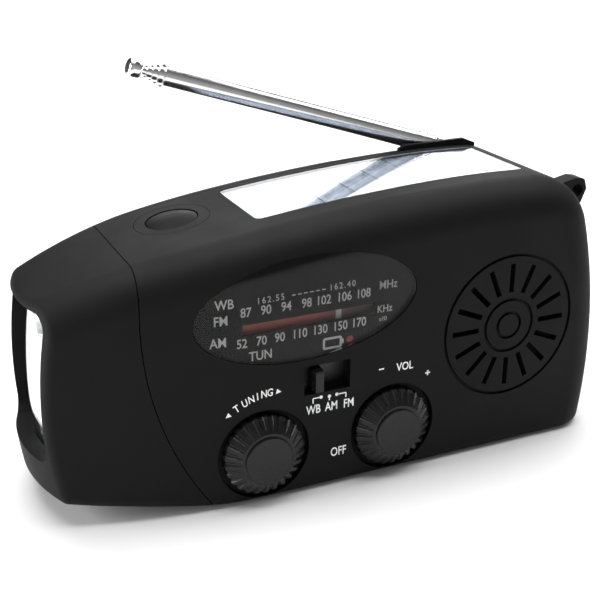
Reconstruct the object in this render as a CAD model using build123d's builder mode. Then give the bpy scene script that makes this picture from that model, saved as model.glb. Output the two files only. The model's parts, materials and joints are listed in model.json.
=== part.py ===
"""Hand-crank emergency radio with a lamp, a solar panel, a dynamo and a telescopic antenna.

Millimetres. +Z is up, +X points towards the speaker end, the dial faces -Y.
The origin is the middle of the base, on the surface that the radio stands on.
"""
import math
import os
from functools import cache

from build123d import *

os.makedirs("parts", exist_ok=True)

# ---- casing -------------------------------------------------------------------------------------
DEPTH = 45.0                    # overall casing depth, front to rear
HALF = DEPTH / 2
WALL = 1.8
INNER = HALF - WALL             # distance of the flat front and rear walls' inner faces from the middle
CROWN_R = 8.0                   # rounding between the front, the top and the right end
BASE_R = 2.5                    # rounding round the base and the lamp end
END_BOW = [(-64.4, 5.5), (-66.0, 23.0), (-62.2, 52.0)]      # side view of the lamp end's middle line
END_ROUND = 35.0                # radius of the lamp end, seen from above
TOP_SLOPE = 0.4948              # rise of the top at its left end
# ends of the tangent arcs of the top, the top right corner and the right end, left to right
OUTLINE = [(-70, 42.6), (-33.7, 54.3), (23.1, 60.3), (46.45, 60.37), (59.34, 50.26), (61.0, -8.0)]
TAPER_START = -18.0             # the front and rear curve in from here to the lamp end
TAPER_HALF = 12.8               # half depth that the taper would reach at X = -70
LIFT_START = -24.0              # the base lifts clear of the ground from here to the lamp end
FAR = 90.0                      # beyond the casing in every direction

PARTING_Y = 14.5                # the front casing ends and the rear casing starts here
GAP = 0.2                       # open line between the casing's parts
RIDGE_Y = 15.6                  # rear face of the ridge that hides the antenna's knuckle
RIDGE = [(29.5, 57.5), (29.5, 61.0), (31.0, 61.7), (47.0, 61.9), (50.2, 60.6), (50.2, 57.5)]
SEAM_X, SEAM_Z = 25.4, 42.0     # the lamp head meets the casing on a cylinder about this line
SEAM_R = 70.0
LIP = 3.0                       # length of the lamp head's spigot inside the casing
LIP_OUT, LIP_IN = 1.95, 3.1     # its two faces, measured in from the casing's outside
SCREWS = [(20.0, 8.0), (57.8, 22.0), (55.0, 47.0), (-38.3, 36.5), (-31.0, 6.8)]
SCREW_R = 1.2
SCREW_HEAD_R = 2.4
POST_R = 2.9
STRAP_LUG = [(59.0, 47.0), (64.9, 50.2), (66.2, 53.4), (65.4, 55.8), (63.0, 56.2), (57.0, 55.0)]
STRAP_X, STRAP_Y, STRAP_Z = 63.6, -6.5, 53.2
STRAP_R = 1.5
STRAP_WIDTH = 4.0

# ---- controls -----------------------------------------------------------------------------------
KNOB_Z = 11.1
TUNING_X = -20.6
VOLUME_X = 9.0
RECESS_R = 10.0
RECESS_DEPTH = 1.6
WELL_R = RECESS_R + 1.5
KNOB_R = 8.8
KNOB_FACE_R = 5.1
KNOB_PROUD = 3.0
KNOB_FLUTES = 26
FLUTE_R = 0.8
TUNING_SHAFT_R = 1.5
VOLUME_SHAFT_R = 2.0
RUN = 0.06                      # radial clearance of every turning or sliding shaft
SWITCH_X, SWITCH_Z = -6.6, 25.7
SWITCH_SLOT = (10.4, 6.4)
NUB_TRAVEL = 4.8
BUTTON_X, BUTTON_Y = -30.0, 3.5
BUTTON_TILT = 8.5               # slope of the casing's top under the button
BUTTON_TOP_Z = 54.55            # height of the casing's top at the button
BEZEL_R = 7.9
BUTTON_R = 5.3
BUTTON_STROKE = 1.2

# ---- dial ---------------------------------------------------------------------------------------
DIAL_X, DIAL_Z = -10.6, 41.5
DIAL_RX, DIAL_RZ = 24.2, 11.0
DIAL_TILT = 2.5
SLOT_X, SLOT_Z = -10.0, 38.6    # window that the pointer runs in
SLOT_LENGTH, SLOT_HEIGHT = 29.0, 2.4
POINTER_X = -3.2
POINTER_LAYER = (-20.3, -19.9)
STRIP_FACE_Y = -19.6            # tuning band behind the pointer
STRIP_HALF, STRIP_RISE = 16.5, 2.6
STRIP_THICKNESS = 0.6
LED_X, LED_Z = -1.1, 32.8

# ---- lamp ---------------------------------------------------------------------------------------
WINDOW_Z = 29.2
WINDOW_WIDTH, WINDOW_HEIGHT = 28.0, 31.2
WINDOW_R = 3.5
LENS_SET = 3.5                  # lamp lens, measured in from the casing's end
FRAME_END_X = -53.5             # the window's frame stops here, clear of the pointer rack
LED_PITCH = 9.0
LED_BACK_X = -51.0

# ---- top and loudspeaker ------------------------------------------------------------------------
PANEL_X, PANEL_Y = 15.5, 1.5
PANEL_LENGTH, PANEL_WIDTH = 64.0, 22.0
PANEL_CELLS = 8
SPEAKER_X, SPEAKER_Z = 37.2, 29.6
SPEAKER_R = 18.0
GRILLE_R = 16.1
GRILLE_SLOTS = 16

# ---- antenna ------------------------------------------------------------------------------------
ANT_X, ANT_Y, ANT_Z = 43.5, 18.5, 59.35     # knuckle pin
ANT_RAISED = 17.6               # elevation of the rod as modelled
ANT_FOLDED = -4.5               # elevation of the rod in its groove
GROOVE_R = 2.8
PATH_R, PATH_LENGTH = 2.6, 30.0 # room cut in the casing for the rod between folded and raised
PATH_ANGLES = (2.0, 9.0, ANT_RAISED)
SWIVEL_R = 2.2                  # stem of the swivel in the casing
POCKET_R = 2.95
ANT_PIN_R = 0.7
# each tube: start and end along the rod from the pin, outer radius, bore radius
ANT_TUBES = [
    (4.4, 73.0, 2.40, 2.06),
    (8.0, 74.3, 2.00, 1.66),
    (10.0, 75.5, 1.60, 1.34),
    (12.0, 76.7, 1.28, 0.96),
]
ANT_TIP_START, ANT_TIP_END = 14.0, 80.8
ANT_TIP_R = 0.90

# ---- gears and dynamo ---------------------------------------------------------------------------
MODULE = 0.6
PINION_TEETH = 10
CAPACITOR_TEETH = 30
CRANK_TEETH = 50
IDLER_TEETH = 40
CRANK_X, CRANK_Z = -12.0, 30.0
IDLER_ANGLE = 20.0              # direction of the idler from the crank
ROTOR_ANGLE = -30.0             # direction of the rotor from the idler
CAPACITOR_ANGLE = 36.0          # direction of the tuning capacitor from the tuning shaft
CRANK_LAYER = (18.0, 20.2)
IDLER_LAYER = (15.0, 17.4)
PLATE_LAYER = (13.8, 14.8)
RACK_LAYER = (-16.4, -15.0)
CAPACITOR_LAYER = (-14.6, -13.2)
CAPACITOR_HALF = 8.5            # half width of the tuning capacitor's body
CAPACITOR_AXLE_R, IDLER_AXLE_R, ROTOR_AXLE_R = 1.2, 1.2, 1.0
MAGNET_R = 8.2
STATOR_R = 11.0
PLATE_POSTS = [(-29.5, 38.0), (-29.5, 20.5), (26.0, 43.5), (31.5, 24.0)]

# ---- crank --------------------------------------------------------------------------------------
AXLE_R = 2.5
ARM_LAYER = (22.9, 26.9)
ARM_HALF = 6.0
KNOB_HINGE_X, KNOB_HINGE_Y = 33.0, 24.9
KNOB_PIN_R = 0.9
GRIP_R = 3.5
GRIP_SPAN = (13.4, 30.2)
GRIP_Y = 26.6

# ---- electronics --------------------------------------------------------------------------------
BOARD_LAYER = (-5.8, -4.2)
BOARD_POSTS = [(14.8, 47.0), (14.5, 24.0), (-33.5, 30.0)]
# packages on the main board: centre, width, height and thickness
CHIPS = [(-20, 36, 9, 9, 1.4), (-2, 34, 12, 7, 1.8), (-22, 24, 5, 4, 1.2)]
CANS = [(4, 44), (-8, 24), (10, 26)]
CAN_R, CAN_HEIGHT = 2.5, 5.0
BATTERY_X, BATTERY_Y, BATTERY_Z = -5.5, 9.5, 10.2
BATTERY_R, BATTERY_LENGTH = 7.0, 43.0
PORT_X, PORT_Z = 46.0, 10.5
PORT_WIDTH, PORT_HEIGHT, PORT_DEPTH = 20.0, 9.0, 2.0
USB_X, MICRO_X = 41.5, 52.0
COVER_PIN_Z = PORT_Z - PORT_HEIGHT / 2 + 1.2
COVER_THICKNESS = 1.8


# ---- shared forms -------------------------------------------------------------------------------
END_ARC = ThreePointArc(*END_BOW)


@cache
def casing(inset=0.0):
    """The closed outer form of the radio, drawn in by inset all over."""
    with BuildPart() as form:
        with BuildSketch(Plane.XZ.offset(-HALF)):
            with BuildLine():
                arc = TangentArc(*OUTLINE[:2], tangent=(1, TOP_SLOPE))
                for point in OUTLINE[2:]:
                    arc = TangentArc(arc @ 1, point, tangent=arc % 1)
                Polyline(arc @ 1, (-70, OUTLINE[-1][1]), OUTLINE[0])
            make_face()
            if inset:
                offset(amount=-inset)
        extrude(amount=DEPTH)
        with BuildSketch(Plane.XY.offset(-40)):
            with BuildLine():
                front = Line((FAR, -HALF), (TAPER_START, -HALF))
                taper = TangentArc(front @ 1, (-70, -TAPER_HALF), tangent=(-1, 0))
                Polyline(taper @ 1, (-70, 0), (FAR, 0), front @ 0)
            make_face()
            mirror(about=Plane.XZ)
            if inset:
                offset(amount=-inset)
        extrude(amount=120, mode=Mode.INTERSECT)
        rim = [
            edge
            for edge in form.edges()
            if abs(edge.center().Y) > 11
            and edge.center().Z > 0
            and edge.geom_type != GeomType.LINE
            and edge.center().X > -60
        ]
        fillet(rim, CROWN_R - inset)
        with BuildSketch(Plane.XZ.offset(-HALF)) as belly:
            with BuildLine():
                flat = Line((FAR, 0), (LIFT_START, 0))
                lift = TangentArc(flat @ 1, (LIFT_START - 10, 0.8), tangent=(-1, 0))
                rise = Line(lift @ 1, (END_BOW[0][0] - 10, END_BOW[0][1] + 1.5))
                Polyline(rise @ 1, (-FAR, FAR), (FAR, FAR), flat @ 0)
            make_face()
            if inset:
                offset(amount=-inset)
        extrude(amount=DEPTH, mode=Mode.INTERSECT)
        end_axis_x = END_BOW[1][0] + END_ROUND
        with BuildPart(mode=Mode.PRIVATE) as end_form:
            with BuildSketch(Plane.XZ):
                with BuildLine():
                    centre, share = END_ARC.arc_center, 1 - inset / END_ARC.radius
                    bow = ThreePointArc(*[centre + (Vector(*point) - centre) * share for point in END_BOW])
                    low = Line(bow @ 0, bow @ 0 - (bow % 0) * 14)
                    high = Line(bow @ 1, bow @ 1 + (bow % 1) * 20)
                    Polyline(high @ 1, (end_axis_x, (high @ 1).Y), (end_axis_x, (low @ 1).Y), low @ 1)
                make_face()
            revolve(axis=Axis((end_axis_x, 0, 0), (0, 0, 1)))
        add(end_form.part + box(end_axis_x - 10, FAR, -FAR, FAR, -FAR, FAR), mode=Mode.INTERSECT)
        if inset < BASE_R:
            foot = form.edges().filter_by(lambda e: e.center().Z < BASE_R + 1 + inset or e.center().X < -58)
            fillet(foot, BASE_R - inset)
    return form.part


def layer(outer_inset, inner_inset):
    """The skin of the casing's form between two depths below its surface."""
    return casing(outer_inset) - casing(inner_inset)


def rod_y(x, z, radius, y0, y1):
    """A round bar along Y."""
    with BuildPart() as bar:
        with BuildSketch(Plane.XZ.offset(-y0)):
            with Locations((x, z)):
                Circle(radius)
        extrude(amount=y0 - y1)
    return bar.part


def box(x0, x1, y0, y1, z0, z1):
    """A plain block between two corners."""
    middle = Pos((x0 + x1) / 2, (y0 + y1) / 2, (z0 + z1) / 2)
    return middle * Box(x1 - x0, y1 - y0, z1 - z0, mode=Mode.PRIVATE)


def seam_cylinder(radius):
    """Everything on the casing's side of the lamp head seam."""
    return rod_y(SEAM_X, SEAM_Z, radius, -FAR, FAR)


def dial_oval(grow=0.0):
    """The dial's oval as a bar through the front, grown all round."""
    with BuildPart() as bar:
        with BuildSketch(Plane.XZ.offset(INNER - 8)):
            with Locations((DIAL_X, DIAL_Z)):
                Ellipse(DIAL_RX + grow, DIAL_RZ + grow, rotation=DIAL_TILT)
        extrude(amount=20)
    return bar.part


def button_plane(height=0.0):
    """A plane square to the lamp button's axis, at a height above the casing's top."""
    tilt = math.radians(BUTTON_TILT)
    normal = Vector(-math.sin(tilt), 0, math.cos(tilt))
    foot = Vector(BUTTON_X, BUTTON_Y, BUTTON_TOP_Z) + normal * height
    return Plane(origin=foot, x_dir=(math.cos(tilt), 0, math.sin(tilt)), z_dir=normal)


def button_bar(radius, low=-6.0, high=6.0):
    """A round bar along the lamp button's axis."""
    with BuildPart() as bar:
        with BuildSketch(button_plane(low)):
            Circle(radius)
        extrude(amount=high - low)
    return bar.part


def panel_bar(grow=0.0):
    """The solar panel's outline as an upright bar, grown all round."""
    with BuildPart() as bar:
        with BuildSketch(Plane.XY.offset(40)):
            with Locations((PANEL_X, PANEL_Y)):
                RectangleRounded(PANEL_LENGTH + 2 * grow, PANEL_WIDTH + 2 * grow, 1.5 + grow)
        extrude(amount=40)
    return bar.part


def window_bar(grow=0.0):
    """The lamp window's outline as a bar along X, grown all round."""
    with BuildPart() as bar:
        with BuildSketch(Plane.YZ.offset(-FAR)):
            with Locations((0, WINDOW_Z)):
                RectangleRounded(WINDOW_WIDTH + 2 * grow, WINDOW_HEIGHT + 2 * grow, WINDOW_R + grow)
        extrude(amount=FAR - 47)
    return bar.part


def gear(x, z, teeth, phase, span, bore=0.0):
    """A spur gear on a Y axis, with one tooth centred on the direction phase."""
    pitch_r = MODULE * teeth / 2
    root_r, tip_r = pitch_r - 1.15 * MODULE, pitch_r + 0.75 * MODULE
    half_pitch = 360 / teeth / 2
    outline = []
    for tooth in range(teeth):
        middle = phase + 2 * half_pitch * tooth
        for radius, share in ((root_r, -0.72), (tip_r, -0.20), (tip_r, 0.20), (root_r, 0.72)):
            angle = math.radians(middle + half_pitch * share)
            outline.append((x + radius * math.cos(angle), z + radius * math.sin(angle)))
    with BuildPart() as wheel:
        with BuildSketch(Plane.XZ.offset(-span[0])):
            with BuildLine():
                Polyline(*outline, close=True)
            make_face()
            if bore:
                with Locations((x, z)):
                    Circle(bore, mode=Mode.SUBTRACT)
        extrude(amount=span[0] - span[1])
    return wheel.part


def polar(x, z, distance, direction):
    """The X, Z point at a distance and direction from another."""
    angle = math.radians(direction)
    return x + distance * math.cos(angle), z + distance * math.sin(angle)


def along_rod(elevation):
    """A plane at the knuckle pin whose normal runs along the antenna rod."""
    angle = math.radians(elevation)
    direction = (-math.cos(angle), 0, math.sin(angle))
    return Plane(origin=(ANT_X, ANT_Y, ANT_Z), x_dir=(0, 1, 0), z_dir=direction)


def finish(part, name):
    """Label a finished piece and write it."""
    part.label = name
    export_step(part, f"parts/{name}.step")


IDLER = polar(CRANK_X, CRANK_Z, MODULE * (CRANK_TEETH + PINION_TEETH) / 2, IDLER_ANGLE)
ROTOR = polar(*IDLER, MODULE * (IDLER_TEETH + PINION_TEETH) / 2, ROTOR_ANGLE)
CAPACITOR = polar(TUNING_X, KNOB_Z, MODULE * (CAPACITOR_TEETH + PINION_TEETH) / 2, CAPACITOR_ANGLE)
HALF_TOOTH = 180 / PINION_TEETH
ANT_RAISED_PLANE = along_rod(ANT_RAISED)
ANT_FOLDED_PLANE = along_rod(ANT_FOLDED)

form = casing()
cavity = casing(WALL)
case_side = seam_cylinder(SEAM_R - GAP / 2)
front_half = box(-FAR, FAR, -FAR, PARTING_Y - GAP / 2, -FAR, FAR)
rear_half = box(-FAR, FAR, PARTING_Y + GAP / 2, FAR, -FAR, FAR)
lens_skin = layer(0.25, 1.0)
plate_skin = layer(1.05, 1.8)
ledge_skin = layer(1.6, 2.7)
panel_floor_skin = layer(2.2, 3.4)
deep_skin = layer(0, 3.4)

# ---- front casing -------------------------------------------------------------------------------
with BuildPart() as strap_lug:
    with BuildSketch(Plane.XZ.offset(STRAP_WIDTH / 2 - STRAP_Y)):
        with BuildLine():
            Polyline(*STRAP_LUG, close=True)
        lug_outline = make_face()
        fillet(lug_outline.vertices().sort_by(Axis.X)[-2:], 0.8)
    extrude(amount=-STRAP_WIDTH)

with BuildPart() as front_case:
    add(form - cavity)
    add(case_side & front_half, mode=Mode.INTERSECT)
    # knob wells and shaft bushes
    for knob_x, shaft_r in ((TUNING_X, TUNING_SHAFT_R), (VOLUME_X, VOLUME_SHAFT_R)):
        add(rod_y(knob_x, KNOB_Z, WELL_R, -INNER, -INNER + 1.3) & form)
        add(rod_y(knob_x, KNOB_Z, shaft_r + 1.7, -INNER, -17.7))
        add(rod_y(knob_x, KNOB_Z, RECESS_R, -FAR, RECESS_DEPTH - HALF), mode=Mode.SUBTRACT)
        add(rod_y(knob_x, KNOB_Z, shaft_r + RUN, -FAR, -17), mode=Mode.SUBTRACT)
    # dial opening with a ledge behind the lens
    add(ledge_skin & dial_oval(1.0))
    add(dial_oval() - casing(1.85), mode=Mode.SUBTRACT)
    add(dial_oval(-1.0), mode=Mode.SUBTRACT)
    add(rod_y(LED_X, LED_Z, 0.95, -FAR, -19), mode=Mode.SUBTRACT)
    # band switch slot
    add(
        box(
            SWITCH_X - SWITCH_SLOT[0] / 2,
            SWITCH_X + SWITCH_SLOT[0] / 2,
            -FAR,
            -20,
            SWITCH_Z - SWITCH_SLOT[1] / 2,
            SWITCH_Z + SWITCH_SLOT[1] / 2,
        ),
        mode=Mode.SUBTRACT,
    )
    # loudspeaker grille: an outer groove, two inner grooves and a ring of slots
    with BuildSketch(Plane.XZ.offset(HALF)):
        with Locations((SPEAKER_X, SPEAKER_Z)):
            for ring_r in (GRILLE_R, 6.0, 2.9):
                Circle(ring_r + 0.35)
                Circle(ring_r - 0.35, mode=Mode.SUBTRACT)
    extrude(amount=-0.7, mode=Mode.SUBTRACT)
    with BuildSketch(Plane.XZ.offset(HALF)):
        with Locations((SPEAKER_X, SPEAKER_Z)):
            with PolarLocations(10.95, GRILLE_SLOTS):
                Rectangle(6.5, 1.2)
    extrude(amount=-WALL - 1, mode=Mode.SUBTRACT)
    # solar panel tray
    add(deep_skin & (panel_bar(1.2) - panel_bar()))
    add(panel_bar() - casing(2.2), mode=Mode.SUBTRACT)
    add(panel_floor_skin & panel_bar(1.2))
    # lamp button opening, with a ledge under the bezel
    add(layer(1.4, 2.8) & button_bar(BEZEL_R + 1.2))
    add(button_bar(BEZEL_R + 0.1) - casing(1.5), mode=Mode.SUBTRACT)
    add(button_bar(BUTTON_R + 1.3), mode=Mode.SUBTRACT)
    # rails that the pointer rack slides between
    add(box(-34, 4, -INNER - 0.1, -16.6, 12.9, 14.0))
    for tab_x in (-34, 5):
        add(box(tab_x, tab_x + 4.5, -INNER - 0.1, -15.5, 17.2, 18.4))
    # posts for the casing screws and the main board
    for post_x, post_z in SCREWS:
        add(rod_y(post_x, post_z, POST_R, -INNER - 0.1, 0) & casing(0.5))
        add(rod_y(post_x, post_z, SCREW_R + 0.05, -11, 1), mode=Mode.SUBTRACT)
    for post_x, post_z in BOARD_POSTS:
        add(rod_y(post_x, post_z, 2.0, -INNER - 0.1, BOARD_LAYER[0]))
        add(rod_y(post_x, post_z, 0.85, -14, BOARD_LAYER[0]), mode=Mode.SUBTRACT)
    # strap lug
    add(strap_lug.part - cavity)
    add(rod_y(STRAP_X, STRAP_Z, STRAP_R, STRAP_Y - 9, STRAP_Y + 9), mode=Mode.SUBTRACT)
finish(front_case.part, "front_case")

# ---- rear casing --------------------------------------------------------------------------------
groove = extrude(Sketch() + ANT_FOLDED_PLANE * Circle(GROOVE_R), ANT_TIP_END + 1)
rod_paths = [extrude(Sketch() + along_rod(rise) * Circle(PATH_R), PATH_LENGTH) for rise in PATH_ANGLES]
groove_backing = extrude(Sketch() + ANT_FOLDED_PLANE.offset(-4) * Circle(GROOVE_R + 1.6), ANT_TIP_END + 6)
behind_ridge = box(-FAR, FAR, RIDGE_Y, FAR, 0, FAR)
with BuildPart() as antenna_seat:
    with BuildSketch(Plane.XY.offset(58.2)):
        with Locations((ANT_X, ANT_Y)):
            Circle(8.5)
    extrude(amount=10)
    add(behind_ridge, mode=Mode.INTERSECT)
with BuildPart() as ridge:
    with BuildSketch(Plane.XZ.offset(-RIDGE_Y)):
        with BuildLine():
            Polyline(*RIDGE, close=True)
        make_face()
    extrude(amount=RIDGE_Y - PARTING_Y - GAP / 2)

with BuildPart() as rear_case:
    add(form - cavity)
    # antenna bearing and the backing of its groove
    with BuildSketch(Plane.XY.offset(51.0)):
        with Locations((ANT_X, ANT_Y)):
            Circle(POCKET_R + 1.6)
    extrude(amount=12)
    add(groove_backing)
    # gear bearings, case for the crank axle and posts for the gear plate
    add(rod_y(CRANK_X, CRANK_Z, AXLE_R + 1.6, CRANK_LAYER[1] + 0.2, INNER))
    for post_x, post_z in PLATE_POSTS:
        add(rod_y(post_x, post_z, 2.0, PLATE_LAYER[1], INNER))
    # port recess
    add(
        box(
            PORT_X - PORT_WIDTH / 2 - 1,
            PORT_X + PORT_WIDTH / 2 + 1,
            19.5,
            INNER,
            PORT_Z - PORT_HEIGHT / 2 - 1,
            PORT_Z + PORT_HEIGHT / 2 + 1,
        )
    )
    for stand_x in (36.5, 55.5):
        with BuildSketch(Plane.XY.offset(1)):
            with Locations((stand_x, 17.3)):
                Circle(1.8)
        extrude(amount=5.2)
    add(case_side & rear_half & form, mode=Mode.INTERSECT)
    add(ridge.part)
    for post_x, post_z in SCREWS:
        add(rod_y(post_x, post_z, POST_R, 0, HALF) & casing(0.5))
    # openings
    add(groove, mode=Mode.SUBTRACT)
    add(rod_paths, mode=Mode.SUBTRACT)
    add(antenna_seat.part, mode=Mode.SUBTRACT)
    with BuildSketch(Plane.XY.offset(50)):
        with Locations((ANT_X, ANT_Y)):
            Circle(SWIVEL_R + RUN)
    extrude(amount=20, mode=Mode.SUBTRACT)
    with BuildSketch(Plane.XY.offset(55.6)):
        with Locations((ANT_X, ANT_Y)):
            Circle(POCKET_R)
    extrude(amount=20, mode=Mode.SUBTRACT)
    add(rod_y(CRANK_X, CRANK_Z, AXLE_R + RUN, 15, FAR), mode=Mode.SUBTRACT)
    for axle_x, axle_z, axle_r in ((*IDLER, IDLER_AXLE_R), (*ROTOR, ROTOR_AXLE_R)):
        add(rod_y(axle_x, axle_z, axle_r + RUN, 15, INNER + 0.8), mode=Mode.SUBTRACT)
    for post_x, post_z in SCREWS:
        add(rod_y(post_x, post_z, SCREW_R + 0.2, -1, FAR), mode=Mode.SUBTRACT)
        add(rod_y(post_x, post_z, SCREW_HEAD_R + 0.2, INNER + 0.1, FAR), mode=Mode.SUBTRACT)
    add(
        box(
            PORT_X - PORT_WIDTH / 2,
            PORT_X + PORT_WIDTH / 2,
            HALF - PORT_DEPTH,
            FAR,
            PORT_Z - PORT_HEIGHT / 2,
            PORT_Z + PORT_HEIGHT / 2,
        ),
        mode=Mode.SUBTRACT,
    )
    add(box(USB_X - 6.75, USB_X + 6.75, 18, 21, PORT_Z - 3.25, PORT_Z + 2.95), mode=Mode.SUBTRACT)
    add(box(MICRO_X - 3.95, MICRO_X + 3.95, 18, 21, PORT_Z - 3.25, PORT_Z + 1.5), mode=Mode.SUBTRACT)
    with BuildSketch(Plane.YZ.offset(PORT_X - PORT_WIDTH / 2 - 0.8)):
        with Locations((HALF - 1.0, COVER_PIN_Z)):
            Circle(0.5)
    extrude(amount=PORT_WIDTH + 1.6, mode=Mode.SUBTRACT)
finish(rear_case.part, "rear_case")

# ---- lamp head ----------------------------------------------------------------------------------
with BuildPart() as lamp_head:
    add(form - cavity)
    window_frame = window_bar(2.0) - window_bar()
    add(layer(1.5, LENS_SET + 2.4) & window_frame & box(-FAR, FRAME_END_X, -FAR, FAR, 0, FAR))
    add(seam_cylinder(SEAM_R + GAP / 2), mode=Mode.SUBTRACT)
    add(window_bar(), mode=Mode.SUBTRACT)
    add(layer(LENS_SET, LENS_SET + 3.0) & window_bar(0.8), mode=Mode.SUBTRACT)
    add(layer(WALL - 0.1, LIP_IN) & (seam_cylinder(SEAM_R + LIP) - seam_cylinder(SEAM_R + GAP / 2)))
    spigot = layer(LIP_OUT, LIP_IN) & (seam_cylinder(SEAM_R + 0.5) - seam_cylinder(SEAM_R - LIP))
    spigot = spigot & box(-FAR, 0, -FAR, FAR, 0, FAR)
    rack_notch = box(-60, -20, -20, -15, 12.2, 19.0)
    screw_notch = rod_y(*SCREWS[-1], POST_R + 0.3, -HALF, HALF)
    add(spigot - rack_notch - screw_notch)
finish(lamp_head.part, "lamp_head")

with BuildPart() as lamp_lens:
    add(layer(LENS_SET + 0.05, LENS_SET + 1.1) & window_bar(0.7))
finish(lamp_lens.part, "lamp_lens")

with BuildPart() as reflector:
    add(casing(LENS_SET + 1.2) & window_bar(-0.4))
    add(box(-FAR, LED_BACK_X, -FAR, FAR, 0, FAR), mode=Mode.INTERSECT)
    for led in (-1, 0, 1):
        with BuildSketch(Plane.YZ.offset(LED_BACK_X)):
            with Locations((0, WINDOW_Z + LED_PITCH * led)):
                Circle(2.7)
        with BuildSketch(Plane.YZ.offset(LED_BACK_X - 9)):
            with Locations((0, WINDOW_Z + LED_PITCH * led)):
                Ellipse(12.0, 5.6)
        loft(mode=Mode.SUBTRACT)
finish(reflector.part, "reflector")

with BuildPart() as lamp_leds:
    for led in (-1, 0, 1):
        with BuildSketch(Plane.YZ.offset(LED_BACK_X)):
            with Locations((0, WINDOW_Z + LED_PITCH * led)):
                Circle(2.5)
        extrude(amount=-5.0)
    fillet(lamp_leds.edges().group_by(Axis.X)[0], 2.2)
finish(lamp_leds.part, "lamp_leds")

with BuildPart() as led_board:
    with BuildSketch(Plane.YZ.offset(LED_BACK_X)):
        with Locations((0, WINDOW_Z)):
            RectangleRounded(26, 28, 2)
    extrude(amount=1.2)
finish(led_board.part, "led_board")

# ---- dial ---------------------------------------------------------------------------------------
with BuildPart() as dial_lens:
    add(lens_skin & dial_oval(-0.12))
finish(dial_lens.part, "dial_lens")

with BuildPart() as dial_plate:
    add(plate_skin & dial_oval(-0.12))
    with BuildSketch(Plane.XZ):
        with Locations((SLOT_X, SLOT_Z)):
            Rectangle(SLOT_LENGTH, SLOT_HEIGHT)
        with Locations((LED_X, LED_Z)):
            Circle(0.85)
    extrude(amount=HALF, mode=Mode.SUBTRACT)
finish(dial_plate.part, "dial_plate")

with BuildPart() as dial_strip:
    strip_x0, strip_x1 = SLOT_X - STRIP_HALF, SLOT_X + STRIP_HALF
    strip_z = (SLOT_Z - STRIP_RISE, SLOT_Z + STRIP_RISE)
    add(box(strip_x0, strip_x1, STRIP_FACE_Y, STRIP_FACE_Y + STRIP_THICKNESS, *strip_z))
    # feet against the dial plate
    add(box(strip_x0, strip_x0 + 1.0, STRIP_FACE_Y - 0.8, STRIP_FACE_Y, *strip_z))
    add(box(strip_x1 - 1.0, strip_x1, STRIP_FACE_Y - 1.05, STRIP_FACE_Y, *strip_z))
finish(dial_strip.part, "dial_strip")

with BuildPart() as indicator_led:
    add(rod_y(LED_X, LED_Z, 0.75, -21.4, -18.9))
    add(rod_y(LED_X, LED_Z, 1.2, -19.0, -17.8))
finish(indicator_led.part, "indicator_led")

# ---- solar panel --------------------------------------------------------------------------------
with BuildPart() as solar_cover:
    add(layer(0.1, 1.3) & panel_bar(-0.12))
finish(solar_cover.part, "solar_cover")

with BuildPart() as cell_outline:
    with BuildSketch(Plane.XY.offset(40)):
        with Locations((PANEL_X, PANEL_Y)):
            with GridLocations(PANEL_LENGTH / PANEL_CELLS, 0, PANEL_CELLS, 1):
                Rectangle(PANEL_LENGTH / PANEL_CELLS - 0.4, PANEL_WIDTH - 2.0)
    extrude(amount=40)
with BuildPart() as solar_cells:
    add(layer(1.5, 2.1) & cell_outline.part)
finish(solar_cells.part, "solar_cells")

# ---- lamp button --------------------------------------------------------------------------------
with BuildPart() as button_bezel:
    add(layer(0, 1.45) & (button_bar(BEZEL_R) - button_bar(BUTTON_R + 0.3)))
finish(button_bezel.part, "button_bezel")

with BuildPart() as lamp_button:
    axis_plane = button_plane()
    upright = Plane(origin=axis_plane.origin, x_dir=axis_plane.x_dir, z_dir=(0, -1, 0))
    with BuildSketch(upright):
        with BuildLine():
            dome = ThreePointArc((0, 1.1), (BUTTON_R / 2, 0.9), (BUTTON_R, 0.2))
            Polyline(
                dome @ 1,
                (BUTTON_R, -1.9),
                (BUTTON_R + 0.9, -1.9),
                (BUTTON_R + 0.9, -2.9),
                (1.5, -2.9),
                (1.5, -4.4),
                (0, -4.4),
                dome @ 0,
            )
        make_face()
    revolve(axis=Axis(axis_plane.origin, axis_plane.z_dir))
finish(lamp_button.part, "lamp_button")

with BuildPart() as button_switch:
    with BuildSketch(button_plane(-5.8)):
        Circle(1.6)
    extrude(amount=-1.0)
    with BuildSketch(button_plane(-6.6)):
        Rectangle(6, 6)
    extrude(amount=-3.4)
finish(button_switch.part, "button_switch")

with BuildPart() as button_board:
    with BuildSketch(button_plane(-10.0)):
        Rectangle(12, 18)
    extrude(amount=-1.0)
    with BuildSketch(button_plane(-10.0)):
        with GridLocations(0, 15.6, 1, 2):
            Circle(1.1)
    extrude(amount=7.2)
finish(button_board.part, "button_board")

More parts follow.
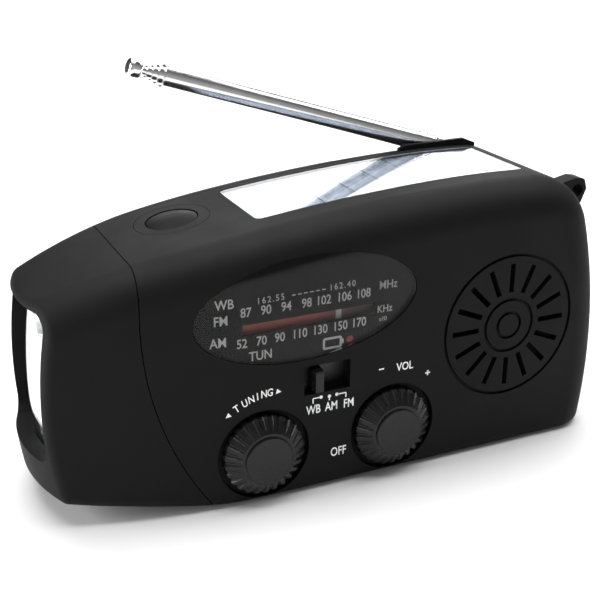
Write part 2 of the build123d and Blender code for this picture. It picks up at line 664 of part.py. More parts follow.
# ---- tuning and volume --------------------------------------------------------------------------
def knob(x, shaft_r, name):
    """A fluted knob with a raised face, sitting in its well."""
    foot_y = RECESS_DEPTH - HALF - 0.3
    face_y = -HALF - KNOB_PROUD
    slope_start = Vector(KNOB_FACE_R + 0.9, face_y + 0.3, 0)
    slope_end = Vector(KNOB_R + 0.5, -HALF - 0.5, 0)
    slope = slope_end - slope_start
    with BuildPart() as flute:
        taper = Plane(origin=slope_start, z_dir=slope) * Cone(
            0.35, FLUTE_R, slope.length, align=(Align.CENTER, Align.CENTER, Align.MIN), mode=Mode.PRIVATE
        )
        add(taper)
        add(rod_y(KNOB_R + 0.5, 0, FLUTE_R, -HALF - 0.5, foot_y + 0.1))
        add(Pos(*slope_end) * Sphere(FLUTE_R, mode=Mode.PRIVATE))
    with BuildPart() as turned:
        with BuildSketch(Plane.XY):
            with BuildLine():
                Polyline(
                    (0, foot_y),
                    (KNOB_R, foot_y),
                    (KNOB_R, -HALF - 0.4),
                    (KNOB_R - 0.5, -HALF - 0.9),
                    (KNOB_FACE_R + 0.7, face_y + 0.5),
                    (KNOB_FACE_R, face_y + 0.5),
                    (KNOB_FACE_R, face_y + 0.2),
                    (KNOB_FACE_R - 0.2, face_y),
                    (0, face_y),
                    close=True,
                )
            make_face()
        revolve(axis=Axis.Y)
        with BuildSketch(Plane.XZ.offset(-foot_y)):
            Circle(shaft_r)
        extrude(amount=KNOB_PROUD + 0.3, mode=Mode.SUBTRACT)
        flutes = [flute.part.rotate(Axis.Y, 360 / KNOB_FLUTES * turn) for turn in range(KNOB_FLUTES)]
        add(flutes, mode=Mode.SUBTRACT)
    finish(Pos(x, 0, KNOB_Z) * turned.part, name)


knob(TUNING_X, TUNING_SHAFT_R, "tuning_knob")
knob(VOLUME_X, VOLUME_SHAFT_R, "volume_knob")

with BuildPart() as tuning_shaft:
    add(gear(TUNING_X, KNOB_Z, PINION_TEETH, 90, (RACK_LAYER[0], CAPACITOR_LAYER[1])))
    add(rod_y(TUNING_X, KNOB_Z, TUNING_SHAFT_R, RECESS_DEPTH - HALF - KNOB_PROUD, CAPACITOR_LAYER[1]))
finish(tuning_shaft.part, "tuning_shaft")

rack_pitch = math.pi * MODULE
rack_line = KNOB_Z + MODULE * PINION_TEETH / 2
rack_teeth = 17
rack_left = TUNING_X - 5 * rack_pitch
with BuildPart() as tuning_pointer:
    with BuildSketch(Plane.XZ.offset(-RACK_LAYER[0])):
        with Locations((rack_left + rack_pitch * rack_teeth / 2, rack_line + 1.8)):
            Rectangle(rack_pitch * rack_teeth, 2.2)
        for tooth in range(rack_teeth):
            tooth_x = rack_left + rack_pitch * (tooth + 0.5)
            with BuildLine():
                Polyline(
                    (tooth_x - 0.36 * rack_pitch, rack_line + 0.8),
                    (tooth_x - 0.09 * rack_pitch, rack_line - 0.75 * MODULE),
                    (tooth_x + 0.09 * rack_pitch, rack_line - 0.75 * MODULE),
                    (tooth_x + 0.36 * rack_pitch, rack_line + 0.8),
                    close=True,
                )
            make_face()
    extrude(amount=RACK_LAYER[0] - RACK_LAYER[1])
    # rail, arm and pointer
    add(box(-18, 0.6, -17.4, RACK_LAYER[0], 14.2, 17.0))
    add(box(POINTER_X - 0.7, POINTER_X + 0.7, -17.4, -16.7, 14.2, 35.4))
    add(box(POINTER_X - 0.6, POINTER_X + 0.6, POINTER_LAYER[0], -16.7, 34.4, 35.4))
    add(box(POINTER_X - 0.6, POINTER_X + 0.6, *POINTER_LAYER, 34.4, SLOT_Z + 1.1))
finish(tuning_pointer.part, "tuning_pointer")

with BuildPart() as capacitor_gear:
    capacitor_phase = CAPACITOR_ANGLE + 180
    add(gear(*CAPACITOR, CAPACITOR_TEETH, capacitor_phase, CAPACITOR_LAYER))
    add(rod_y(*CAPACITOR, CAPACITOR_AXLE_R, CAPACITOR_LAYER[1] - 0.2, -10.6))
finish(capacitor_gear.part, "capacitor_gear")

with BuildPart() as tuning_capacitor:
    left, low = CAPACITOR[0] - CAPACITOR_HALF, CAPACITOR[1] - CAPACITOR_HALF
    add(box(left, left + 2 * CAPACITOR_HALF, -12.9, BOARD_LAYER[0], low, low + 2 * CAPACITOR_HALF))
    add(rod_y(*CAPACITOR, CAPACITOR_AXLE_R + RUN, -20, -10.4), mode=Mode.SUBTRACT)
    fillet(tuning_capacitor.edges().filter_by(Axis.Y).filter_by(GeomType.LINE), 1.0)
finish(tuning_capacitor.part, "tuning_capacitor")

with BuildPart() as volume_shaft:
    add(rod_y(VOLUME_X, KNOB_Z, VOLUME_SHAFT_R, RECESS_DEPTH - HALF - KNOB_PROUD, -9.0))
finish(volume_shaft.part, "volume_shaft")

with BuildPart() as volume_pot:
    add(rod_y(VOLUME_X, KNOB_Z, 8.0, -13.4, BOARD_LAYER[0]))
    add(rod_y(VOLUME_X, KNOB_Z, 3.4, -14.8, -13.0))
    add(rod_y(VOLUME_X, KNOB_Z, VOLUME_SHAFT_R + RUN, -16, -8.8), mode=Mode.SUBTRACT)
finish(volume_pot.part, "volume_pot")

with BuildPart() as band_switch:
    add(box(SWITCH_X - 6.6, SWITCH_X + 6.6, -20.6, -17.8, SWITCH_Z - 4.0, SWITCH_Z + 3.6))
    add(box(SWITCH_X - 5.7, SWITCH_X + 5.7, -21, -18.4, SWITCH_Z - 3.3, SWITCH_Z + 3.1), mode=Mode.SUBTRACT)
finish(band_switch.part, "band_switch")

nub_x = SWITCH_X - NUB_TRAVEL / 2
with BuildPart() as band_slider:
    add(box(nub_x - 2.0, nub_x + 2.0, -20.3, -18.6, SWITCH_Z - 3.0, SWITCH_Z + 2.8))
    with BuildSketch(Plane.XZ.offset(20.0)):
        with Locations((nub_x, SWITCH_Z)):
            Rectangle(2.3, 5.0)
    extrude(amount=4.2, taper=3)
    fillet(band_slider.edges().group_by(Axis.Y)[0], 0.3)
finish(band_slider.part, "band_slider")

# ---- electronics --------------------------------------------------------------------------------
with BuildPart() as main_board:
    add(box(-35.0, 16.8, *BOARD_LAYER, 4.8, 49.0))
    add(rod_y(SCREWS[4][0], SCREWS[4][1], POST_R + 0.4, -8, 0), mode=Mode.SUBTRACT)
    add(box(-37, -21.5, *BOARD_LAYER, 42.0, 50), mode=Mode.SUBTRACT)
    for post_x, post_z in BOARD_POSTS:
        add(rod_y(post_x, post_z, 0.95, -8, 0), mode=Mode.SUBTRACT)
    # packages on the rear face
    for chip_x, chip_z, width, height, thick in CHIPS:
        left, low = chip_x - width / 2, chip_z - height / 2
        add(box(left, left + width, BOARD_LAYER[1], BOARD_LAYER[1] + thick, low, low + height))
    for can_x, can_z in CANS:
        add(rod_y(can_x, can_z, CAN_R, BOARD_LAYER[1], BOARD_LAYER[1] + CAN_HEIGHT))
finish(main_board.part, "main_board")

with BuildPart() as board_screws:
    for post_x, post_z in BOARD_POSTS:
        add(rod_y(post_x, post_z, 1.7, BOARD_LAYER[1], BOARD_LAYER[1] + 1.0))
        add(rod_y(post_x, post_z, 0.8, -12, BOARD_LAYER[1]))
finish(board_screws.part, "board_screws")

speaker_front = -INNER
with BuildPart() as speaker_frame:
    with BuildSketch(Plane.XY):
        with BuildLine():
            Polyline(
                (SPEAKER_R, speaker_front + 0.05),
                (SPEAKER_R, speaker_front + 1.6),
                (SPEAKER_R - 2.2, speaker_front + 2.2),
                (9.5, speaker_front + 7.6),
                (6.0, speaker_front + 7.6),
                (6.0, speaker_front + 6.8),
                (9.0, speaker_front + 6.8),
                (SPEAKER_R - 3.0, speaker_front + 1.6),
                (SPEAKER_R - 1.2, speaker_front + 0.9),
                (SPEAKER_R - 1.2, speaker_front + 0.05),
                close=True,
            )
        make_face()
    revolve(axis=Axis.Y)
finish(Pos(SPEAKER_X, 0, SPEAKER_Z) * speaker_frame.part, "speaker_frame")

with BuildPart() as speaker_cone:
    with BuildSketch(Plane.XY):
        with BuildLine():
            Polyline(
                (SPEAKER_R - 1.4, speaker_front + 0.3),
                (SPEAKER_R - 2.6, speaker_front + 0.3),
                (SPEAKER_R - 3.6, speaker_front + 0.9),
                (5.0, speaker_front + 5.4),
                (0, speaker_front + 3.6),
                (0, speaker_front + 4.1),
                (4.9, speaker_front + 6.0),
                (SPEAKER_R - 3.5, speaker_front + 1.4),
                (SPEAKER_R - 2.6, speaker_front + 0.8),
                (SPEAKER_R - 1.4, speaker_front + 0.8),
                close=True,
            )
        make_face()
    revolve(axis=Axis.Y)
finish(Pos(SPEAKER_X, 0, SPEAKER_Z) * speaker_cone.part, "speaker_cone")

with BuildPart() as speaker_magnet:
    add(rod_y(SPEAKER_X, SPEAKER_Z, 9.0, speaker_front + 7.6, speaker_front + 12.5))
    add(rod_y(SPEAKER_X, SPEAKER_Z, 10.5, speaker_front + 12.5, speaker_front + 13.7))
    fillet(speaker_magnet.edges().group_by(Axis.Y)[-1], 0.5)
finish(speaker_magnet.part, "speaker_magnet")

battery_end = BATTERY_X - BATTERY_LENGTH / 2
with BuildPart() as battery:
    with BuildSketch(Plane.YZ.offset(battery_end)):
        with Locations((BATTERY_Y, BATTERY_Z)):
            Circle(BATTERY_R)
    extrude(amount=BATTERY_LENGTH - 1.2)
    fillet(battery.edges(), 0.6)
    with BuildSketch(Plane.YZ.offset(battery_end + BATTERY_LENGTH - 1.2)):
        with Locations((BATTERY_Y, BATTERY_Z)):
            Circle(2.5)
    extrude(amount=1.2)
finish(battery.part, "battery")

with BuildPart() as battery_holder:
    holder_x0, holder_x1 = battery_end - 1.0, battery_end + BATTERY_LENGTH + 0.8
    add(box(holder_x0, holder_x1, BATTERY_Y - 8.0, BATTERY_Y + 8.0, 2.2, BATTERY_Z))
    cell_x0, cell_x1 = battery_end - 0.05, battery_end + BATTERY_LENGTH + 0.05
    add(box(cell_x0, cell_x1, BATTERY_Y - 7.1, BATTERY_Y + 7.1, BATTERY_Z, 30), mode=Mode.SUBTRACT)
    with BuildSketch(Plane.YZ.offset(cell_x0)):
        with Locations((BATTERY_Y, BATTERY_Z)):
            Circle(BATTERY_R + 0.1)
    extrude(amount=cell_x1 - cell_x0, mode=Mode.SUBTRACT)
finish(battery_holder.part, "battery_holder")

ROD_Y, ROD_Z, ROD_R = 5.0, 49.8, 3.4
with BuildPart() as ferrite_rod:
    with BuildSketch(Plane.YZ.offset(-14)):
        with Locations((ROD_Y, ROD_Z)):
            Circle(ROD_R)
    extrude(amount=52)
finish(ferrite_rod.part, "ferrite_rod")

with BuildPart() as antenna_coil:
    with BuildSketch(Plane.YZ.offset(8)):
        with Locations((ROD_Y, ROD_Z)):
            Circle(ROD_R + 0.9)
            Circle(ROD_R + 0.02, mode=Mode.SUBTRACT)
    extrude(amount=16)
finish(antenna_coil.part, "antenna_coil")

with BuildPart() as port_board:
    add(box(34.5, 57.5, 5.0, 19.4, 6.2, 7.4))
finish(port_board.part, "port_board")

with BuildPart() as usb_socket:
    add(box(USB_X - 6.6, USB_X + 6.6, 6.4, 20.4, 7.4, 13.3))
    add(box(USB_X - 6.2, USB_X + 6.2, 9.0, 21, 8.2, 12.9), mode=Mode.SUBTRACT)
    add(box(USB_X - 5.6, USB_X + 5.6, 8.0, 19.6, 11.0, 12.6))
finish(usb_socket.part, "usb_socket")

with BuildPart() as micro_usb_socket:
    add(box(MICRO_X - 3.75, MICRO_X + 3.75, 14.8, 20.4, 7.4, PORT_Z - 1.3))
    with BuildSketch(Plane.XZ.offset(-20.4)):
        with Locations((MICRO_X, PORT_Z)):
            Trapezoid(7.4, 2.6, 60, rotation=180)
            Rectangle(5.4, 1.6, mode=Mode.SUBTRACT)
    extrude(amount=5.6)
    add(box(MICRO_X - 1.8, MICRO_X + 1.8, 15.0, 20.0, PORT_Z - 0.3, PORT_Z + 0.3))
    add(box(MICRO_X - 3.0, MICRO_X + 3.0, 14.8, 15.6, PORT_Z - 1.2, PORT_Z + 1.2))
finish(micro_usb_socket.part, "micro_usb_socket")

cover_y = HALF - 1.0
cover_x0, cover_x1 = PORT_X - PORT_WIDTH / 2 + 0.3, PORT_X + PORT_WIDTH / 2 - 0.3
with BuildPart() as port_cover:
    with BuildSketch(Plane.YZ.offset(cover_x0)):
        with Locations((cover_y, COVER_PIN_Z)):
            Circle(COVER_THICKNESS / 2)
        with Locations((cover_y, (COVER_PIN_Z + PORT_Z + PORT_HEIGHT / 2 - 0.3) / 2)):
            Rectangle(COVER_THICKNESS, PORT_Z + PORT_HEIGHT / 2 - 0.3 - COVER_PIN_Z)
    extrude(amount=cover_x1 - cover_x0)
    fillet(port_cover.edges().filter_by(Axis.Y), 1.0)
    with BuildSketch(Plane.YZ.offset(cover_x0)):
        with Locations((cover_y, COVER_PIN_Z)):
            Circle(0.5 + RUN)
    extrude(amount=PORT_WIDTH, mode=Mode.SUBTRACT)
    # pull tab in the upper edge
    with BuildSketch(Plane.XZ.offset(-HALF)):
        with Locations((PORT_X, PORT_Z + PORT_HEIGHT / 2)):
            Circle(1.6)
    extrude(amount=1.2, mode=Mode.SUBTRACT)
finish(port_cover.part, "port_cover")

with BuildPart() as cover_pin:
    with BuildSketch(Plane.YZ.offset(PORT_X - PORT_WIDTH / 2 - 0.7)):
        with Locations((cover_y, COVER_PIN_Z)):
            Circle(0.5)
    extrude(amount=PORT_WIDTH + 1.4)
finish(cover_pin.part, "cover_pin")

# ---- crank, gears and dynamo --------------------------------------------------------------------
with BuildPart() as crank_gear:
    add(gear(CRANK_X, CRANK_Z, CRANK_TEETH, IDLER_ANGLE, CRANK_LAYER))
    add(rod_y(CRANK_X, CRANK_Z, AXLE_R, PLATE_LAYER[0], ARM_LAYER[1] - 1.0))
finish(crank_gear.part, "crank_gear")

arm_end_x = KNOB_HINGE_X + 6.5
with BuildPart() as crank_arm:
    with BuildSketch(Plane.XZ.offset(-ARM_LAYER[0])):
        with Locations((CRANK_X, CRANK_Z)):
            Circle(7.5)
        with Locations(((CRANK_X + arm_end_x) / 2, CRANK_Z)):
            Rectangle(arm_end_x - CRANK_X, 2 * ARM_HALF)
        fillet(vertices().group_by(Axis.X)[-1], 4.0)
    extrude(amount=ARM_LAYER[0] - ARM_LAYER[1])
    chamfer(crank_arm.edges().group_by(Axis.Y)[-1], 0.6)
    grip_room = GRIP_R + 0.4
    grip_well = box(11.8, KNOB_HINGE_X + 4.0, 20, 30, CRANK_Z - grip_room, CRANK_Z + grip_room)
    add(grip_well, mode=Mode.SUBTRACT)
    add(rod_y(CRANK_X, CRANK_Z, AXLE_R, 20, ARM_LAYER[1] - 1.0), mode=Mode.SUBTRACT)
    with BuildSketch(Plane.XY.offset(CRANK_Z - ARM_HALF + 0.6)):
        with Locations((KNOB_HINGE_X, KNOB_HINGE_Y)):
            Circle(KNOB_PIN_R)
    extrude(amount=2 * ARM_HALF - 1.2, mode=Mode.SUBTRACT)
finish(crank_arm.part, "crank_arm")

with BuildPart() as knob_pin:
    with BuildSketch(Plane.XY.offset(CRANK_Z - ARM_HALF + 0.7)):
        with Locations((KNOB_HINGE_X, KNOB_HINGE_Y)):
            Circle(KNOB_PIN_R)
    extrude(amount=2 * ARM_HALF - 1.4)
finish(knob_pin.part, "knob_pin")

with BuildPart() as knob_post:
    with BuildSketch(Plane.XY.offset(CRANK_Z - GRIP_R - 0.1)):
        with Locations((KNOB_HINGE_X, KNOB_HINGE_Y)):
            Circle(2.0)
    extrude(amount=2 * GRIP_R + 0.2)
    add(box(GRIP_SPAN[1] + 0.2, KNOB_HINGE_X + 0.5, 24.2, 27.8, CRANK_Z - 3, CRANK_Z + 3))
    for bar_x0, bar_x1, bar_r in ((12.9, 31.0, 1.5), (12.1, 13.2, 3.0)):
        with BuildSketch(Plane.YZ.offset(bar_x0)):
            with Locations((GRIP_Y, CRANK_Z)):
                Circle(bar_r)
        extrude(amount=bar_x1 - bar_x0)
    with BuildSketch(Plane.XY.offset(0)):
        with Locations((KNOB_HINGE_X, KNOB_HINGE_Y)):
            Circle(KNOB_PIN_R + RUN)
    extrude(amount=60, mode=Mode.SUBTRACT)
finish(knob_post.part, "knob_post")

with BuildPart() as crank_knob:
    with BuildSketch(Plane.YZ.offset(GRIP_SPAN[0])):
        with Locations((GRIP_Y, CRANK_Z)):
            Circle(GRIP_R)
    extrude(amount=GRIP_SPAN[1] - GRIP_SPAN[0])
    fillet(crank_knob.edges(), 0.8)
    with BuildSketch(Plane.YZ.offset(GRIP_SPAN[0])):
        with Locations((GRIP_Y, CRANK_Z)):
            Circle(1.5 + RUN)
    extrude(amount=GRIP_SPAN[1] - GRIP_SPAN[0], mode=Mode.SUBTRACT)
finish(crank_knob.part, "crank_knob")

with BuildPart() as idler_gear:
    add(gear(*IDLER, IDLER_TEETH, ROTOR_ANGLE, IDLER_LAYER))
    add(gear(*IDLER, PINION_TEETH, IDLER_ANGLE + 180 + HALF_TOOTH, (IDLER_LAYER[0], CRANK_LAYER[1])))
    add(rod_y(*IDLER, IDLER_AXLE_R, PLATE_LAYER[0], INNER + 0.6))
finish(idler_gear.part, "idler_gear")

with BuildPart() as dynamo_rotor:
    add(gear(*ROTOR, PINION_TEETH, ROTOR_ANGLE + 180 + HALF_TOOTH, IDLER_LAYER))
    add(rod_y(*ROTOR, ROTOR_AXLE_R, 3.6, INNER + 0.6))
finish(dynamo_rotor.part, "dynamo_rotor")

with BuildPart() as rotor_magnet:
    add(rod_y(*ROTOR, MAGNET_R, 4.9, PLATE_LAYER[0] - 0.5))
    chamfer(rotor_magnet.edges(), 0.4)
    add(rod_y(*ROTOR, ROTOR_AXLE_R, 0, 20), mode=Mode.SUBTRACT)
finish(rotor_magnet.part, "rotor_magnet")

with BuildPart() as dynamo_stator:
    add(rod_y(*ROTOR, STATOR_R, 3.4, PLATE_LAYER[0]))
    add(rod_y(*ROTOR, MAGNET_R + 0.4, 4.4, PLATE_LAYER[0] + 1), mode=Mode.SUBTRACT)
    add(rod_y(*ROTOR, ROTOR_AXLE_R + RUN, 0, 20), mode=Mode.SUBTRACT)
finish(dynamo_stator.part, "dynamo_stator")

with BuildPart() as gear_plate:
    with BuildSketch(Plane.XZ.offset(-PLATE_LAYER[0])):
        with Locations((1.0, 32.2)):
            RectangleRounded(66.0, 28.6, 3)
        with Locations((CRANK_X, CRANK_Z)):
            Circle(AXLE_R + RUN, mode=Mode.SUBTRACT)
        with Locations(IDLER):
            Circle(IDLER_AXLE_R + RUN, mode=Mode.SUBTRACT)
        with Locations(ROTOR):
            Circle(ROTOR_AXLE_R + RUN, mode=Mode.SUBTRACT)
    extrude(amount=PLATE_LAYER[0] - PLATE_LAYER[1])
finish(gear_plate.part, "gear_plate")

with BuildPart() as case_screws:
    for post_x, post_z in SCREWS:
        add(rod_y(post_x, post_z, SCREW_HEAD_R, INNER + 0.1, HALF - 0.2))
        add(rod_y(post_x, post_z, SCREW_R, -9.5, INNER + 0.1))
        with BuildSketch(Plane.XZ.offset(0.2 - HALF)):
            with Locations((post_x, post_z)):
                Rectangle(2.6, 0.6)
                Rectangle(0.6, 2.6)
        extrude(amount=0.9, mode=Mode.SUBTRACT)
finish(case_screws.part, "case_screws")

# ---- antenna ------------------------------------------------------------------------------------
with BuildPart() as antenna_swivel:
    with BuildSketch(Plane.XY.offset(51.2)):
        with Locations((ANT_X, ANT_Y)):
            Circle(SWIVEL_R)
    extrude(amount=4.7)
    with BuildSketch(Plane.XY.offset(55.8)):
        with Locations((ANT_X, ANT_Y)):
            Circle(POCKET_R - 0.2)
    extrude(amount=ANT_Z + 2.3 - 55.8)
    # round top, slot for the knuckle and bore for its pin
    with BuildSketch(Plane.XZ.offset(-ANT_Y - 4)):
        with Locations((ANT_X, ANT_Z - 10)):
            Rectangle(4.6, 20)
        with Locations((ANT_X, ANT_Z)):
            Circle(2.3)
    extrude(amount=8, mode=Mode.INTERSECT)
    add(box(ANT_X - 5, ANT_X + 5, ANT_Y - 1.06, ANT_Y + 1.06, ANT_Z - 2.6, ANT_Z + 5), mode=Mode.SUBTRACT)
    add(rod_y(ANT_X, ANT_Z, ANT_PIN_R, ANT_Y - 4, ANT_Y + 4), mode=Mode.SUBTRACT)
finish(antenna_swivel.part, "antenna_swivel")

with BuildPart() as antenna_pin:
    add(rod_y(ANT_X, ANT_Z, ANT_PIN_R, ANT_Y - 2.1, ANT_Y + 2.1))
finish(antenna_pin.part, "antenna_pin")

with BuildPart() as antenna_knuckle:
    add(rod_y(ANT_X, ANT_Z, 2.2, ANT_Y - 1.0, ANT_Y + 1.0))
    with BuildSketch(ANT_RAISED_PLANE):
        Rectangle(2.0, 3.6)
    extrude(amount=3.6)
    with BuildSketch(ANT_RAISED_PLANE.offset(3.3)):
        Circle(2.4)
    extrude(amount=1.1)
    with BuildSketch(ANT_RAISED_PLANE.offset(4.4)):
        Circle(2.0)
    extrude(amount=3.0)
    add(rod_y(ANT_X, ANT_Z, ANT_PIN_R + RUN, ANT_Y - 4, ANT_Y + 4), mode=Mode.SUBTRACT)
finish(antenna_knuckle.part, "antenna_knuckle")

for number, (start, end, outer_r, bore_r) in enumerate(ANT_TUBES, 1):
    with BuildPart() as tube:
        with BuildSketch(ANT_RAISED_PLANE.offset(start)):
            Circle(outer_r)
        extrude(amount=end - start)
        if number == 1:
            # crimped rings at the foot of the largest tube
            for ring_start in (start + 0.3, start + 2.8):
                with BuildSketch(ANT_RAISED_PLANE.offset(ring_start)):
                    Circle(outer_r + 0.12)
                extrude(amount=2.2)
        with BuildSketch(ANT_RAISED_PLANE.offset(start)):
            Circle(bore_r)
        extrude(amount=end - start, mode=Mode.SUBTRACT)
    finish(tube.part, f"antenna_tube_{number}")

with BuildPart() as antenna_tip:
    with BuildSketch(ANT_RAISED_PLANE.offset(ANT_TIP_START)):
        Circle(ANT_TIP_R)
    extrude(amount=78.2 - ANT_TIP_START)
    with BuildSketch(ANT_RAISED_PLANE.offset(77.7)):
        Circle(2.2)
    extrude(amount=ANT_TIP_END - 77.7)
    fillet(antenna_tip.edges().filter_by(GeomType.CIRCLE).sort_by(Axis.X)[:2], 1.0)
finish(antenna_tip.part, "antenna_tip")
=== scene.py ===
import json
import math

import bpy
from mathutils import Matrix, Vector
from mathutils.bvhtree import BVHTree


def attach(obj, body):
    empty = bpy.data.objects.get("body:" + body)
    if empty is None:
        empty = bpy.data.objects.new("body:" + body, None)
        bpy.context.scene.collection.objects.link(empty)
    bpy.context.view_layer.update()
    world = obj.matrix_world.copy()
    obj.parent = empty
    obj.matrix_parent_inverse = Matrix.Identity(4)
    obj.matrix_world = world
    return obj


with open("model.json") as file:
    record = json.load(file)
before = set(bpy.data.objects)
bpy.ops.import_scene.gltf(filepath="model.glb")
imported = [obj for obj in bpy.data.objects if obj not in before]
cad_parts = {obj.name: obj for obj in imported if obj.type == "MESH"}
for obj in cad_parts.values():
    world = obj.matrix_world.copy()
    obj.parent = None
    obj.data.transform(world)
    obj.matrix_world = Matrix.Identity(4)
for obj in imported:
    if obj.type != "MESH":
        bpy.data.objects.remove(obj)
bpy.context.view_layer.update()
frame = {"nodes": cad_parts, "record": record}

# Looks of a hand-crank emergency radio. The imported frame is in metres; names that end in _MM are millimetres.
MM = 0.001

# ---------------------------------------------------------------- camera
CAMERA_MM = (-95.76, -202.47, 123.75)
CAMERA_YAW = math.radians(24.535)
CAMERA_PITCH = math.radians(21.815)
CAMERA_ROLL = math.radians(0.232)
CAMERA_LENS = 66.43
SENSOR = 36.0

forward = Vector(
    (
        math.sin(CAMERA_YAW) * math.cos(CAMERA_PITCH),
        math.cos(CAMERA_YAW) * math.cos(CAMERA_PITCH),
        -math.sin(CAMERA_PITCH),
    )
)
level = Vector((math.cos(CAMERA_YAW), -math.sin(CAMERA_YAW), 0.0))
upright = level.cross(forward)
right = math.cos(CAMERA_ROLL) * level + math.sin(CAMERA_ROLL) * upright
up = math.cos(CAMERA_ROLL) * upright - math.sin(CAMERA_ROLL) * level

camera_data = bpy.data.cameras.new("camera")
camera_data.lens = CAMERA_LENS
camera_data.sensor_width = SENSOR
camera = bpy.data.objects.new("camera", camera_data)
bpy.context.scene.collection.objects.link(camera)
turn = Matrix((right, up, -forward)).transposed().to_4x4()
camera.matrix_world = Matrix.Translation(Vector(CAMERA_MM) * MM) @ turn
bpy.context.scene.camera = camera
bpy.context.scene.view_settings.view_transform = "Standard"

# ---------------------------------------------------------------- materials
NOISE_LOW, NOISE_HIGH = 0.3, 0.7    # a noise mostly stays between these
GRAIN_DETAIL = 2.0
CLEAR_VARY = 0.02
CLEAR_PATCH_MM = 14.0
CLEAR_ROUGH_SHARE = 0.4             # how far a clear sheet's roughness varies, as a share of it
GLARE = (0.9, 0.9, 0.9)             # colour of the light mirrored by a thin sheet
CELL_LINE = (0.30, 0.32, 0.36)
CELL_LINE_PITCH_MM = 1.5
CELL_LINE_SHARE = 0.12
STRIP_END = (0.12, 0.07, 0.06)
FADE_START_MM, FADE_END_MM = -9.0, 1.0


def noise(tree, grain_mm, detail=3.0):
    """A noise of that grain in object space."""
    place = tree.nodes.new("ShaderNodeTexCoord")
    texture = tree.nodes.new("ShaderNodeTexNoise")
    texture.inputs["Scale"].default_value = 1 / (grain_mm * MM)
    texture.inputs["Detail"].default_value = detail
    tree.links.new(place.outputs["Object"], texture.inputs["Vector"])
    return texture.outputs["Fac"]


def ramp(tree, source, low, high, start=NOISE_LOW, end=NOISE_HIGH):
    """low where source is start, high where it is end, and straight between them."""
    node = tree.nodes.new("ShaderNodeMapRange")
    node.inputs["From Min"].default_value = start
    node.inputs["From Max"].default_value = end
    node.inputs["To Min"].default_value = low
    node.inputs["To Max"].default_value = high
    tree.links.new(source, node.inputs["Value"])
    return node.outputs["Result"]


def colours(tree, share, first, second):
    """first where share is 0 and second where it is 1. first is a colour or another node's output."""
    node = tree.nodes.new("ShaderNodeMix")
    node.data_type = "RGBA"
    node.inputs["B"].default_value = (*second, 1)
    if isinstance(first, tuple):
        node.inputs["A"].default_value = (*first, 1)
    else:
        tree.links.new(first, node.inputs["A"])
    tree.links.new(share, node.inputs["Factor"])
    return node.outputs["Result"]


def compute(tree, operation, source, value=None):
    """source put through one step of arithmetic."""
    node = tree.nodes.new("ShaderNodeMath")
    node.operation = operation
    tree.links.new(source, node.inputs[0])
    if value is not None:
        node.inputs[1].default_value = value
    return node.outputs[0]


def along(tree, axis):
    """One coordinate of object space."""
    place = tree.nodes.new("ShaderNodeTexCoord")
    split = tree.nodes.new("ShaderNodeSeparateXYZ")
    tree.links.new(place.outputs["Object"], split.inputs["Vector"])
    return split.outputs[axis]


def stripes(tree, axis, pitch_mm, share):
    """1 on thin lines across an axis of object space, 0 between them."""
    count = compute(tree, "DIVIDE", along(tree, axis), pitch_mm * MM)
    return compute(tree, "LESS_THAN", compute(tree, "FRACT", count), share)


def surface(
    name,
    colour,
    rough,
    vary=0.15,
    patch_mm=6.0,
    rough_vary=0.06,
    grain_mm=0.25,
    grain_height_mm=0.01,
    **sockets,
):
    """A moulded or drawn surface: patchy tone, patchy gloss and a fine grain."""
    made = bpy.data.materials.new(name)
    made.use_nodes = True
    tree = made.node_tree
    shader = tree.nodes["Principled BSDF"]
    patches = noise(tree, patch_mm)
    dark = tuple(c * (1 - vary) for c in colour)
    light = tuple(min(1.0, c * (1 + vary)) for c in colour)
    tone = colours(tree, ramp(tree, patches, 0, 1), dark, light)
    tree.links.new(tone, shader.inputs["Base Color"])
    tree.links.new(ramp(tree, patches, rough - rough_vary, rough + rough_vary), shader.inputs["Roughness"])
    if grain_height_mm:
        bump = tree.nodes.new("ShaderNodeBump")
        bump.inputs["Strength"].default_value = 1.0
        bump.inputs["Distance"].default_value = grain_height_mm * MM
        tree.links.new(noise(tree, grain_mm, GRAIN_DETAIL), bump.inputs["Height"])
        tree.links.new(bump.outputs["Normal"], shader.inputs["Normal"])
    for socket, value in sockets.items():
        shader.inputs[socket.replace("_", " ")].default_value = value
    return made


def repaint(made, share, over):
    """Lay the colour over on a material where share is 1."""
    tree = made.node_tree
    base = tree.nodes["Principled BSDF"].inputs["Base Color"]
    tree.links.new(colours(tree, share, base.links[0].from_socket, over), base)
    return made


def see_through(tree, tint):
    """A shader that light passes straight through."""
    node = tree.nodes.new("ShaderNodeBsdfTransparent")
    node.inputs["Color"].default_value = (*tint, 1)
    return node.outputs["BSDF"]


def mix_shaders(tree, share, first, second):
    """Send first to the material's output where share is 0, and second where it is 1."""
    mix = tree.nodes.new("ShaderNodeMixShader")
    tree.links.new(share, mix.inputs["Fac"])
    tree.links.new(first, mix.inputs[1])
    tree.links.new(second, mix.inputs[2])
    tree.links.new(mix.outputs["Shader"], tree.nodes["Material Output"].inputs["Surface"])


def clear_base(name, colour, rough, **sockets):
    """An even surface without grain, as clear sheets have, with its tree and its shader's output."""
    made = surface(
        name,
        colour,
        rough,
        vary=CLEAR_VARY,
        patch_mm=CLEAR_PATCH_MM,
        rough_vary=rough * CLEAR_ROUGH_SHARE,
        grain_height_mm=0,
        **sockets,
    )
    tree = made.node_tree
    return made, tree, tree.nodes["Principled BSDF"].outputs["BSDF"]


def clear(name, tint, rough, ior=1.49):
    """Clear plastic with a very slight haze. Light from lamps passes it."""
    made, tree, body = clear_base(name, tint, rough, IOR=ior, Transmission_Weight=1.0)
    path = tree.nodes.new("ShaderNodeLightPath")
    mix_shaders(tree, path.outputs["Is Shadow Ray"], body, see_through(tree, tint))
    return made


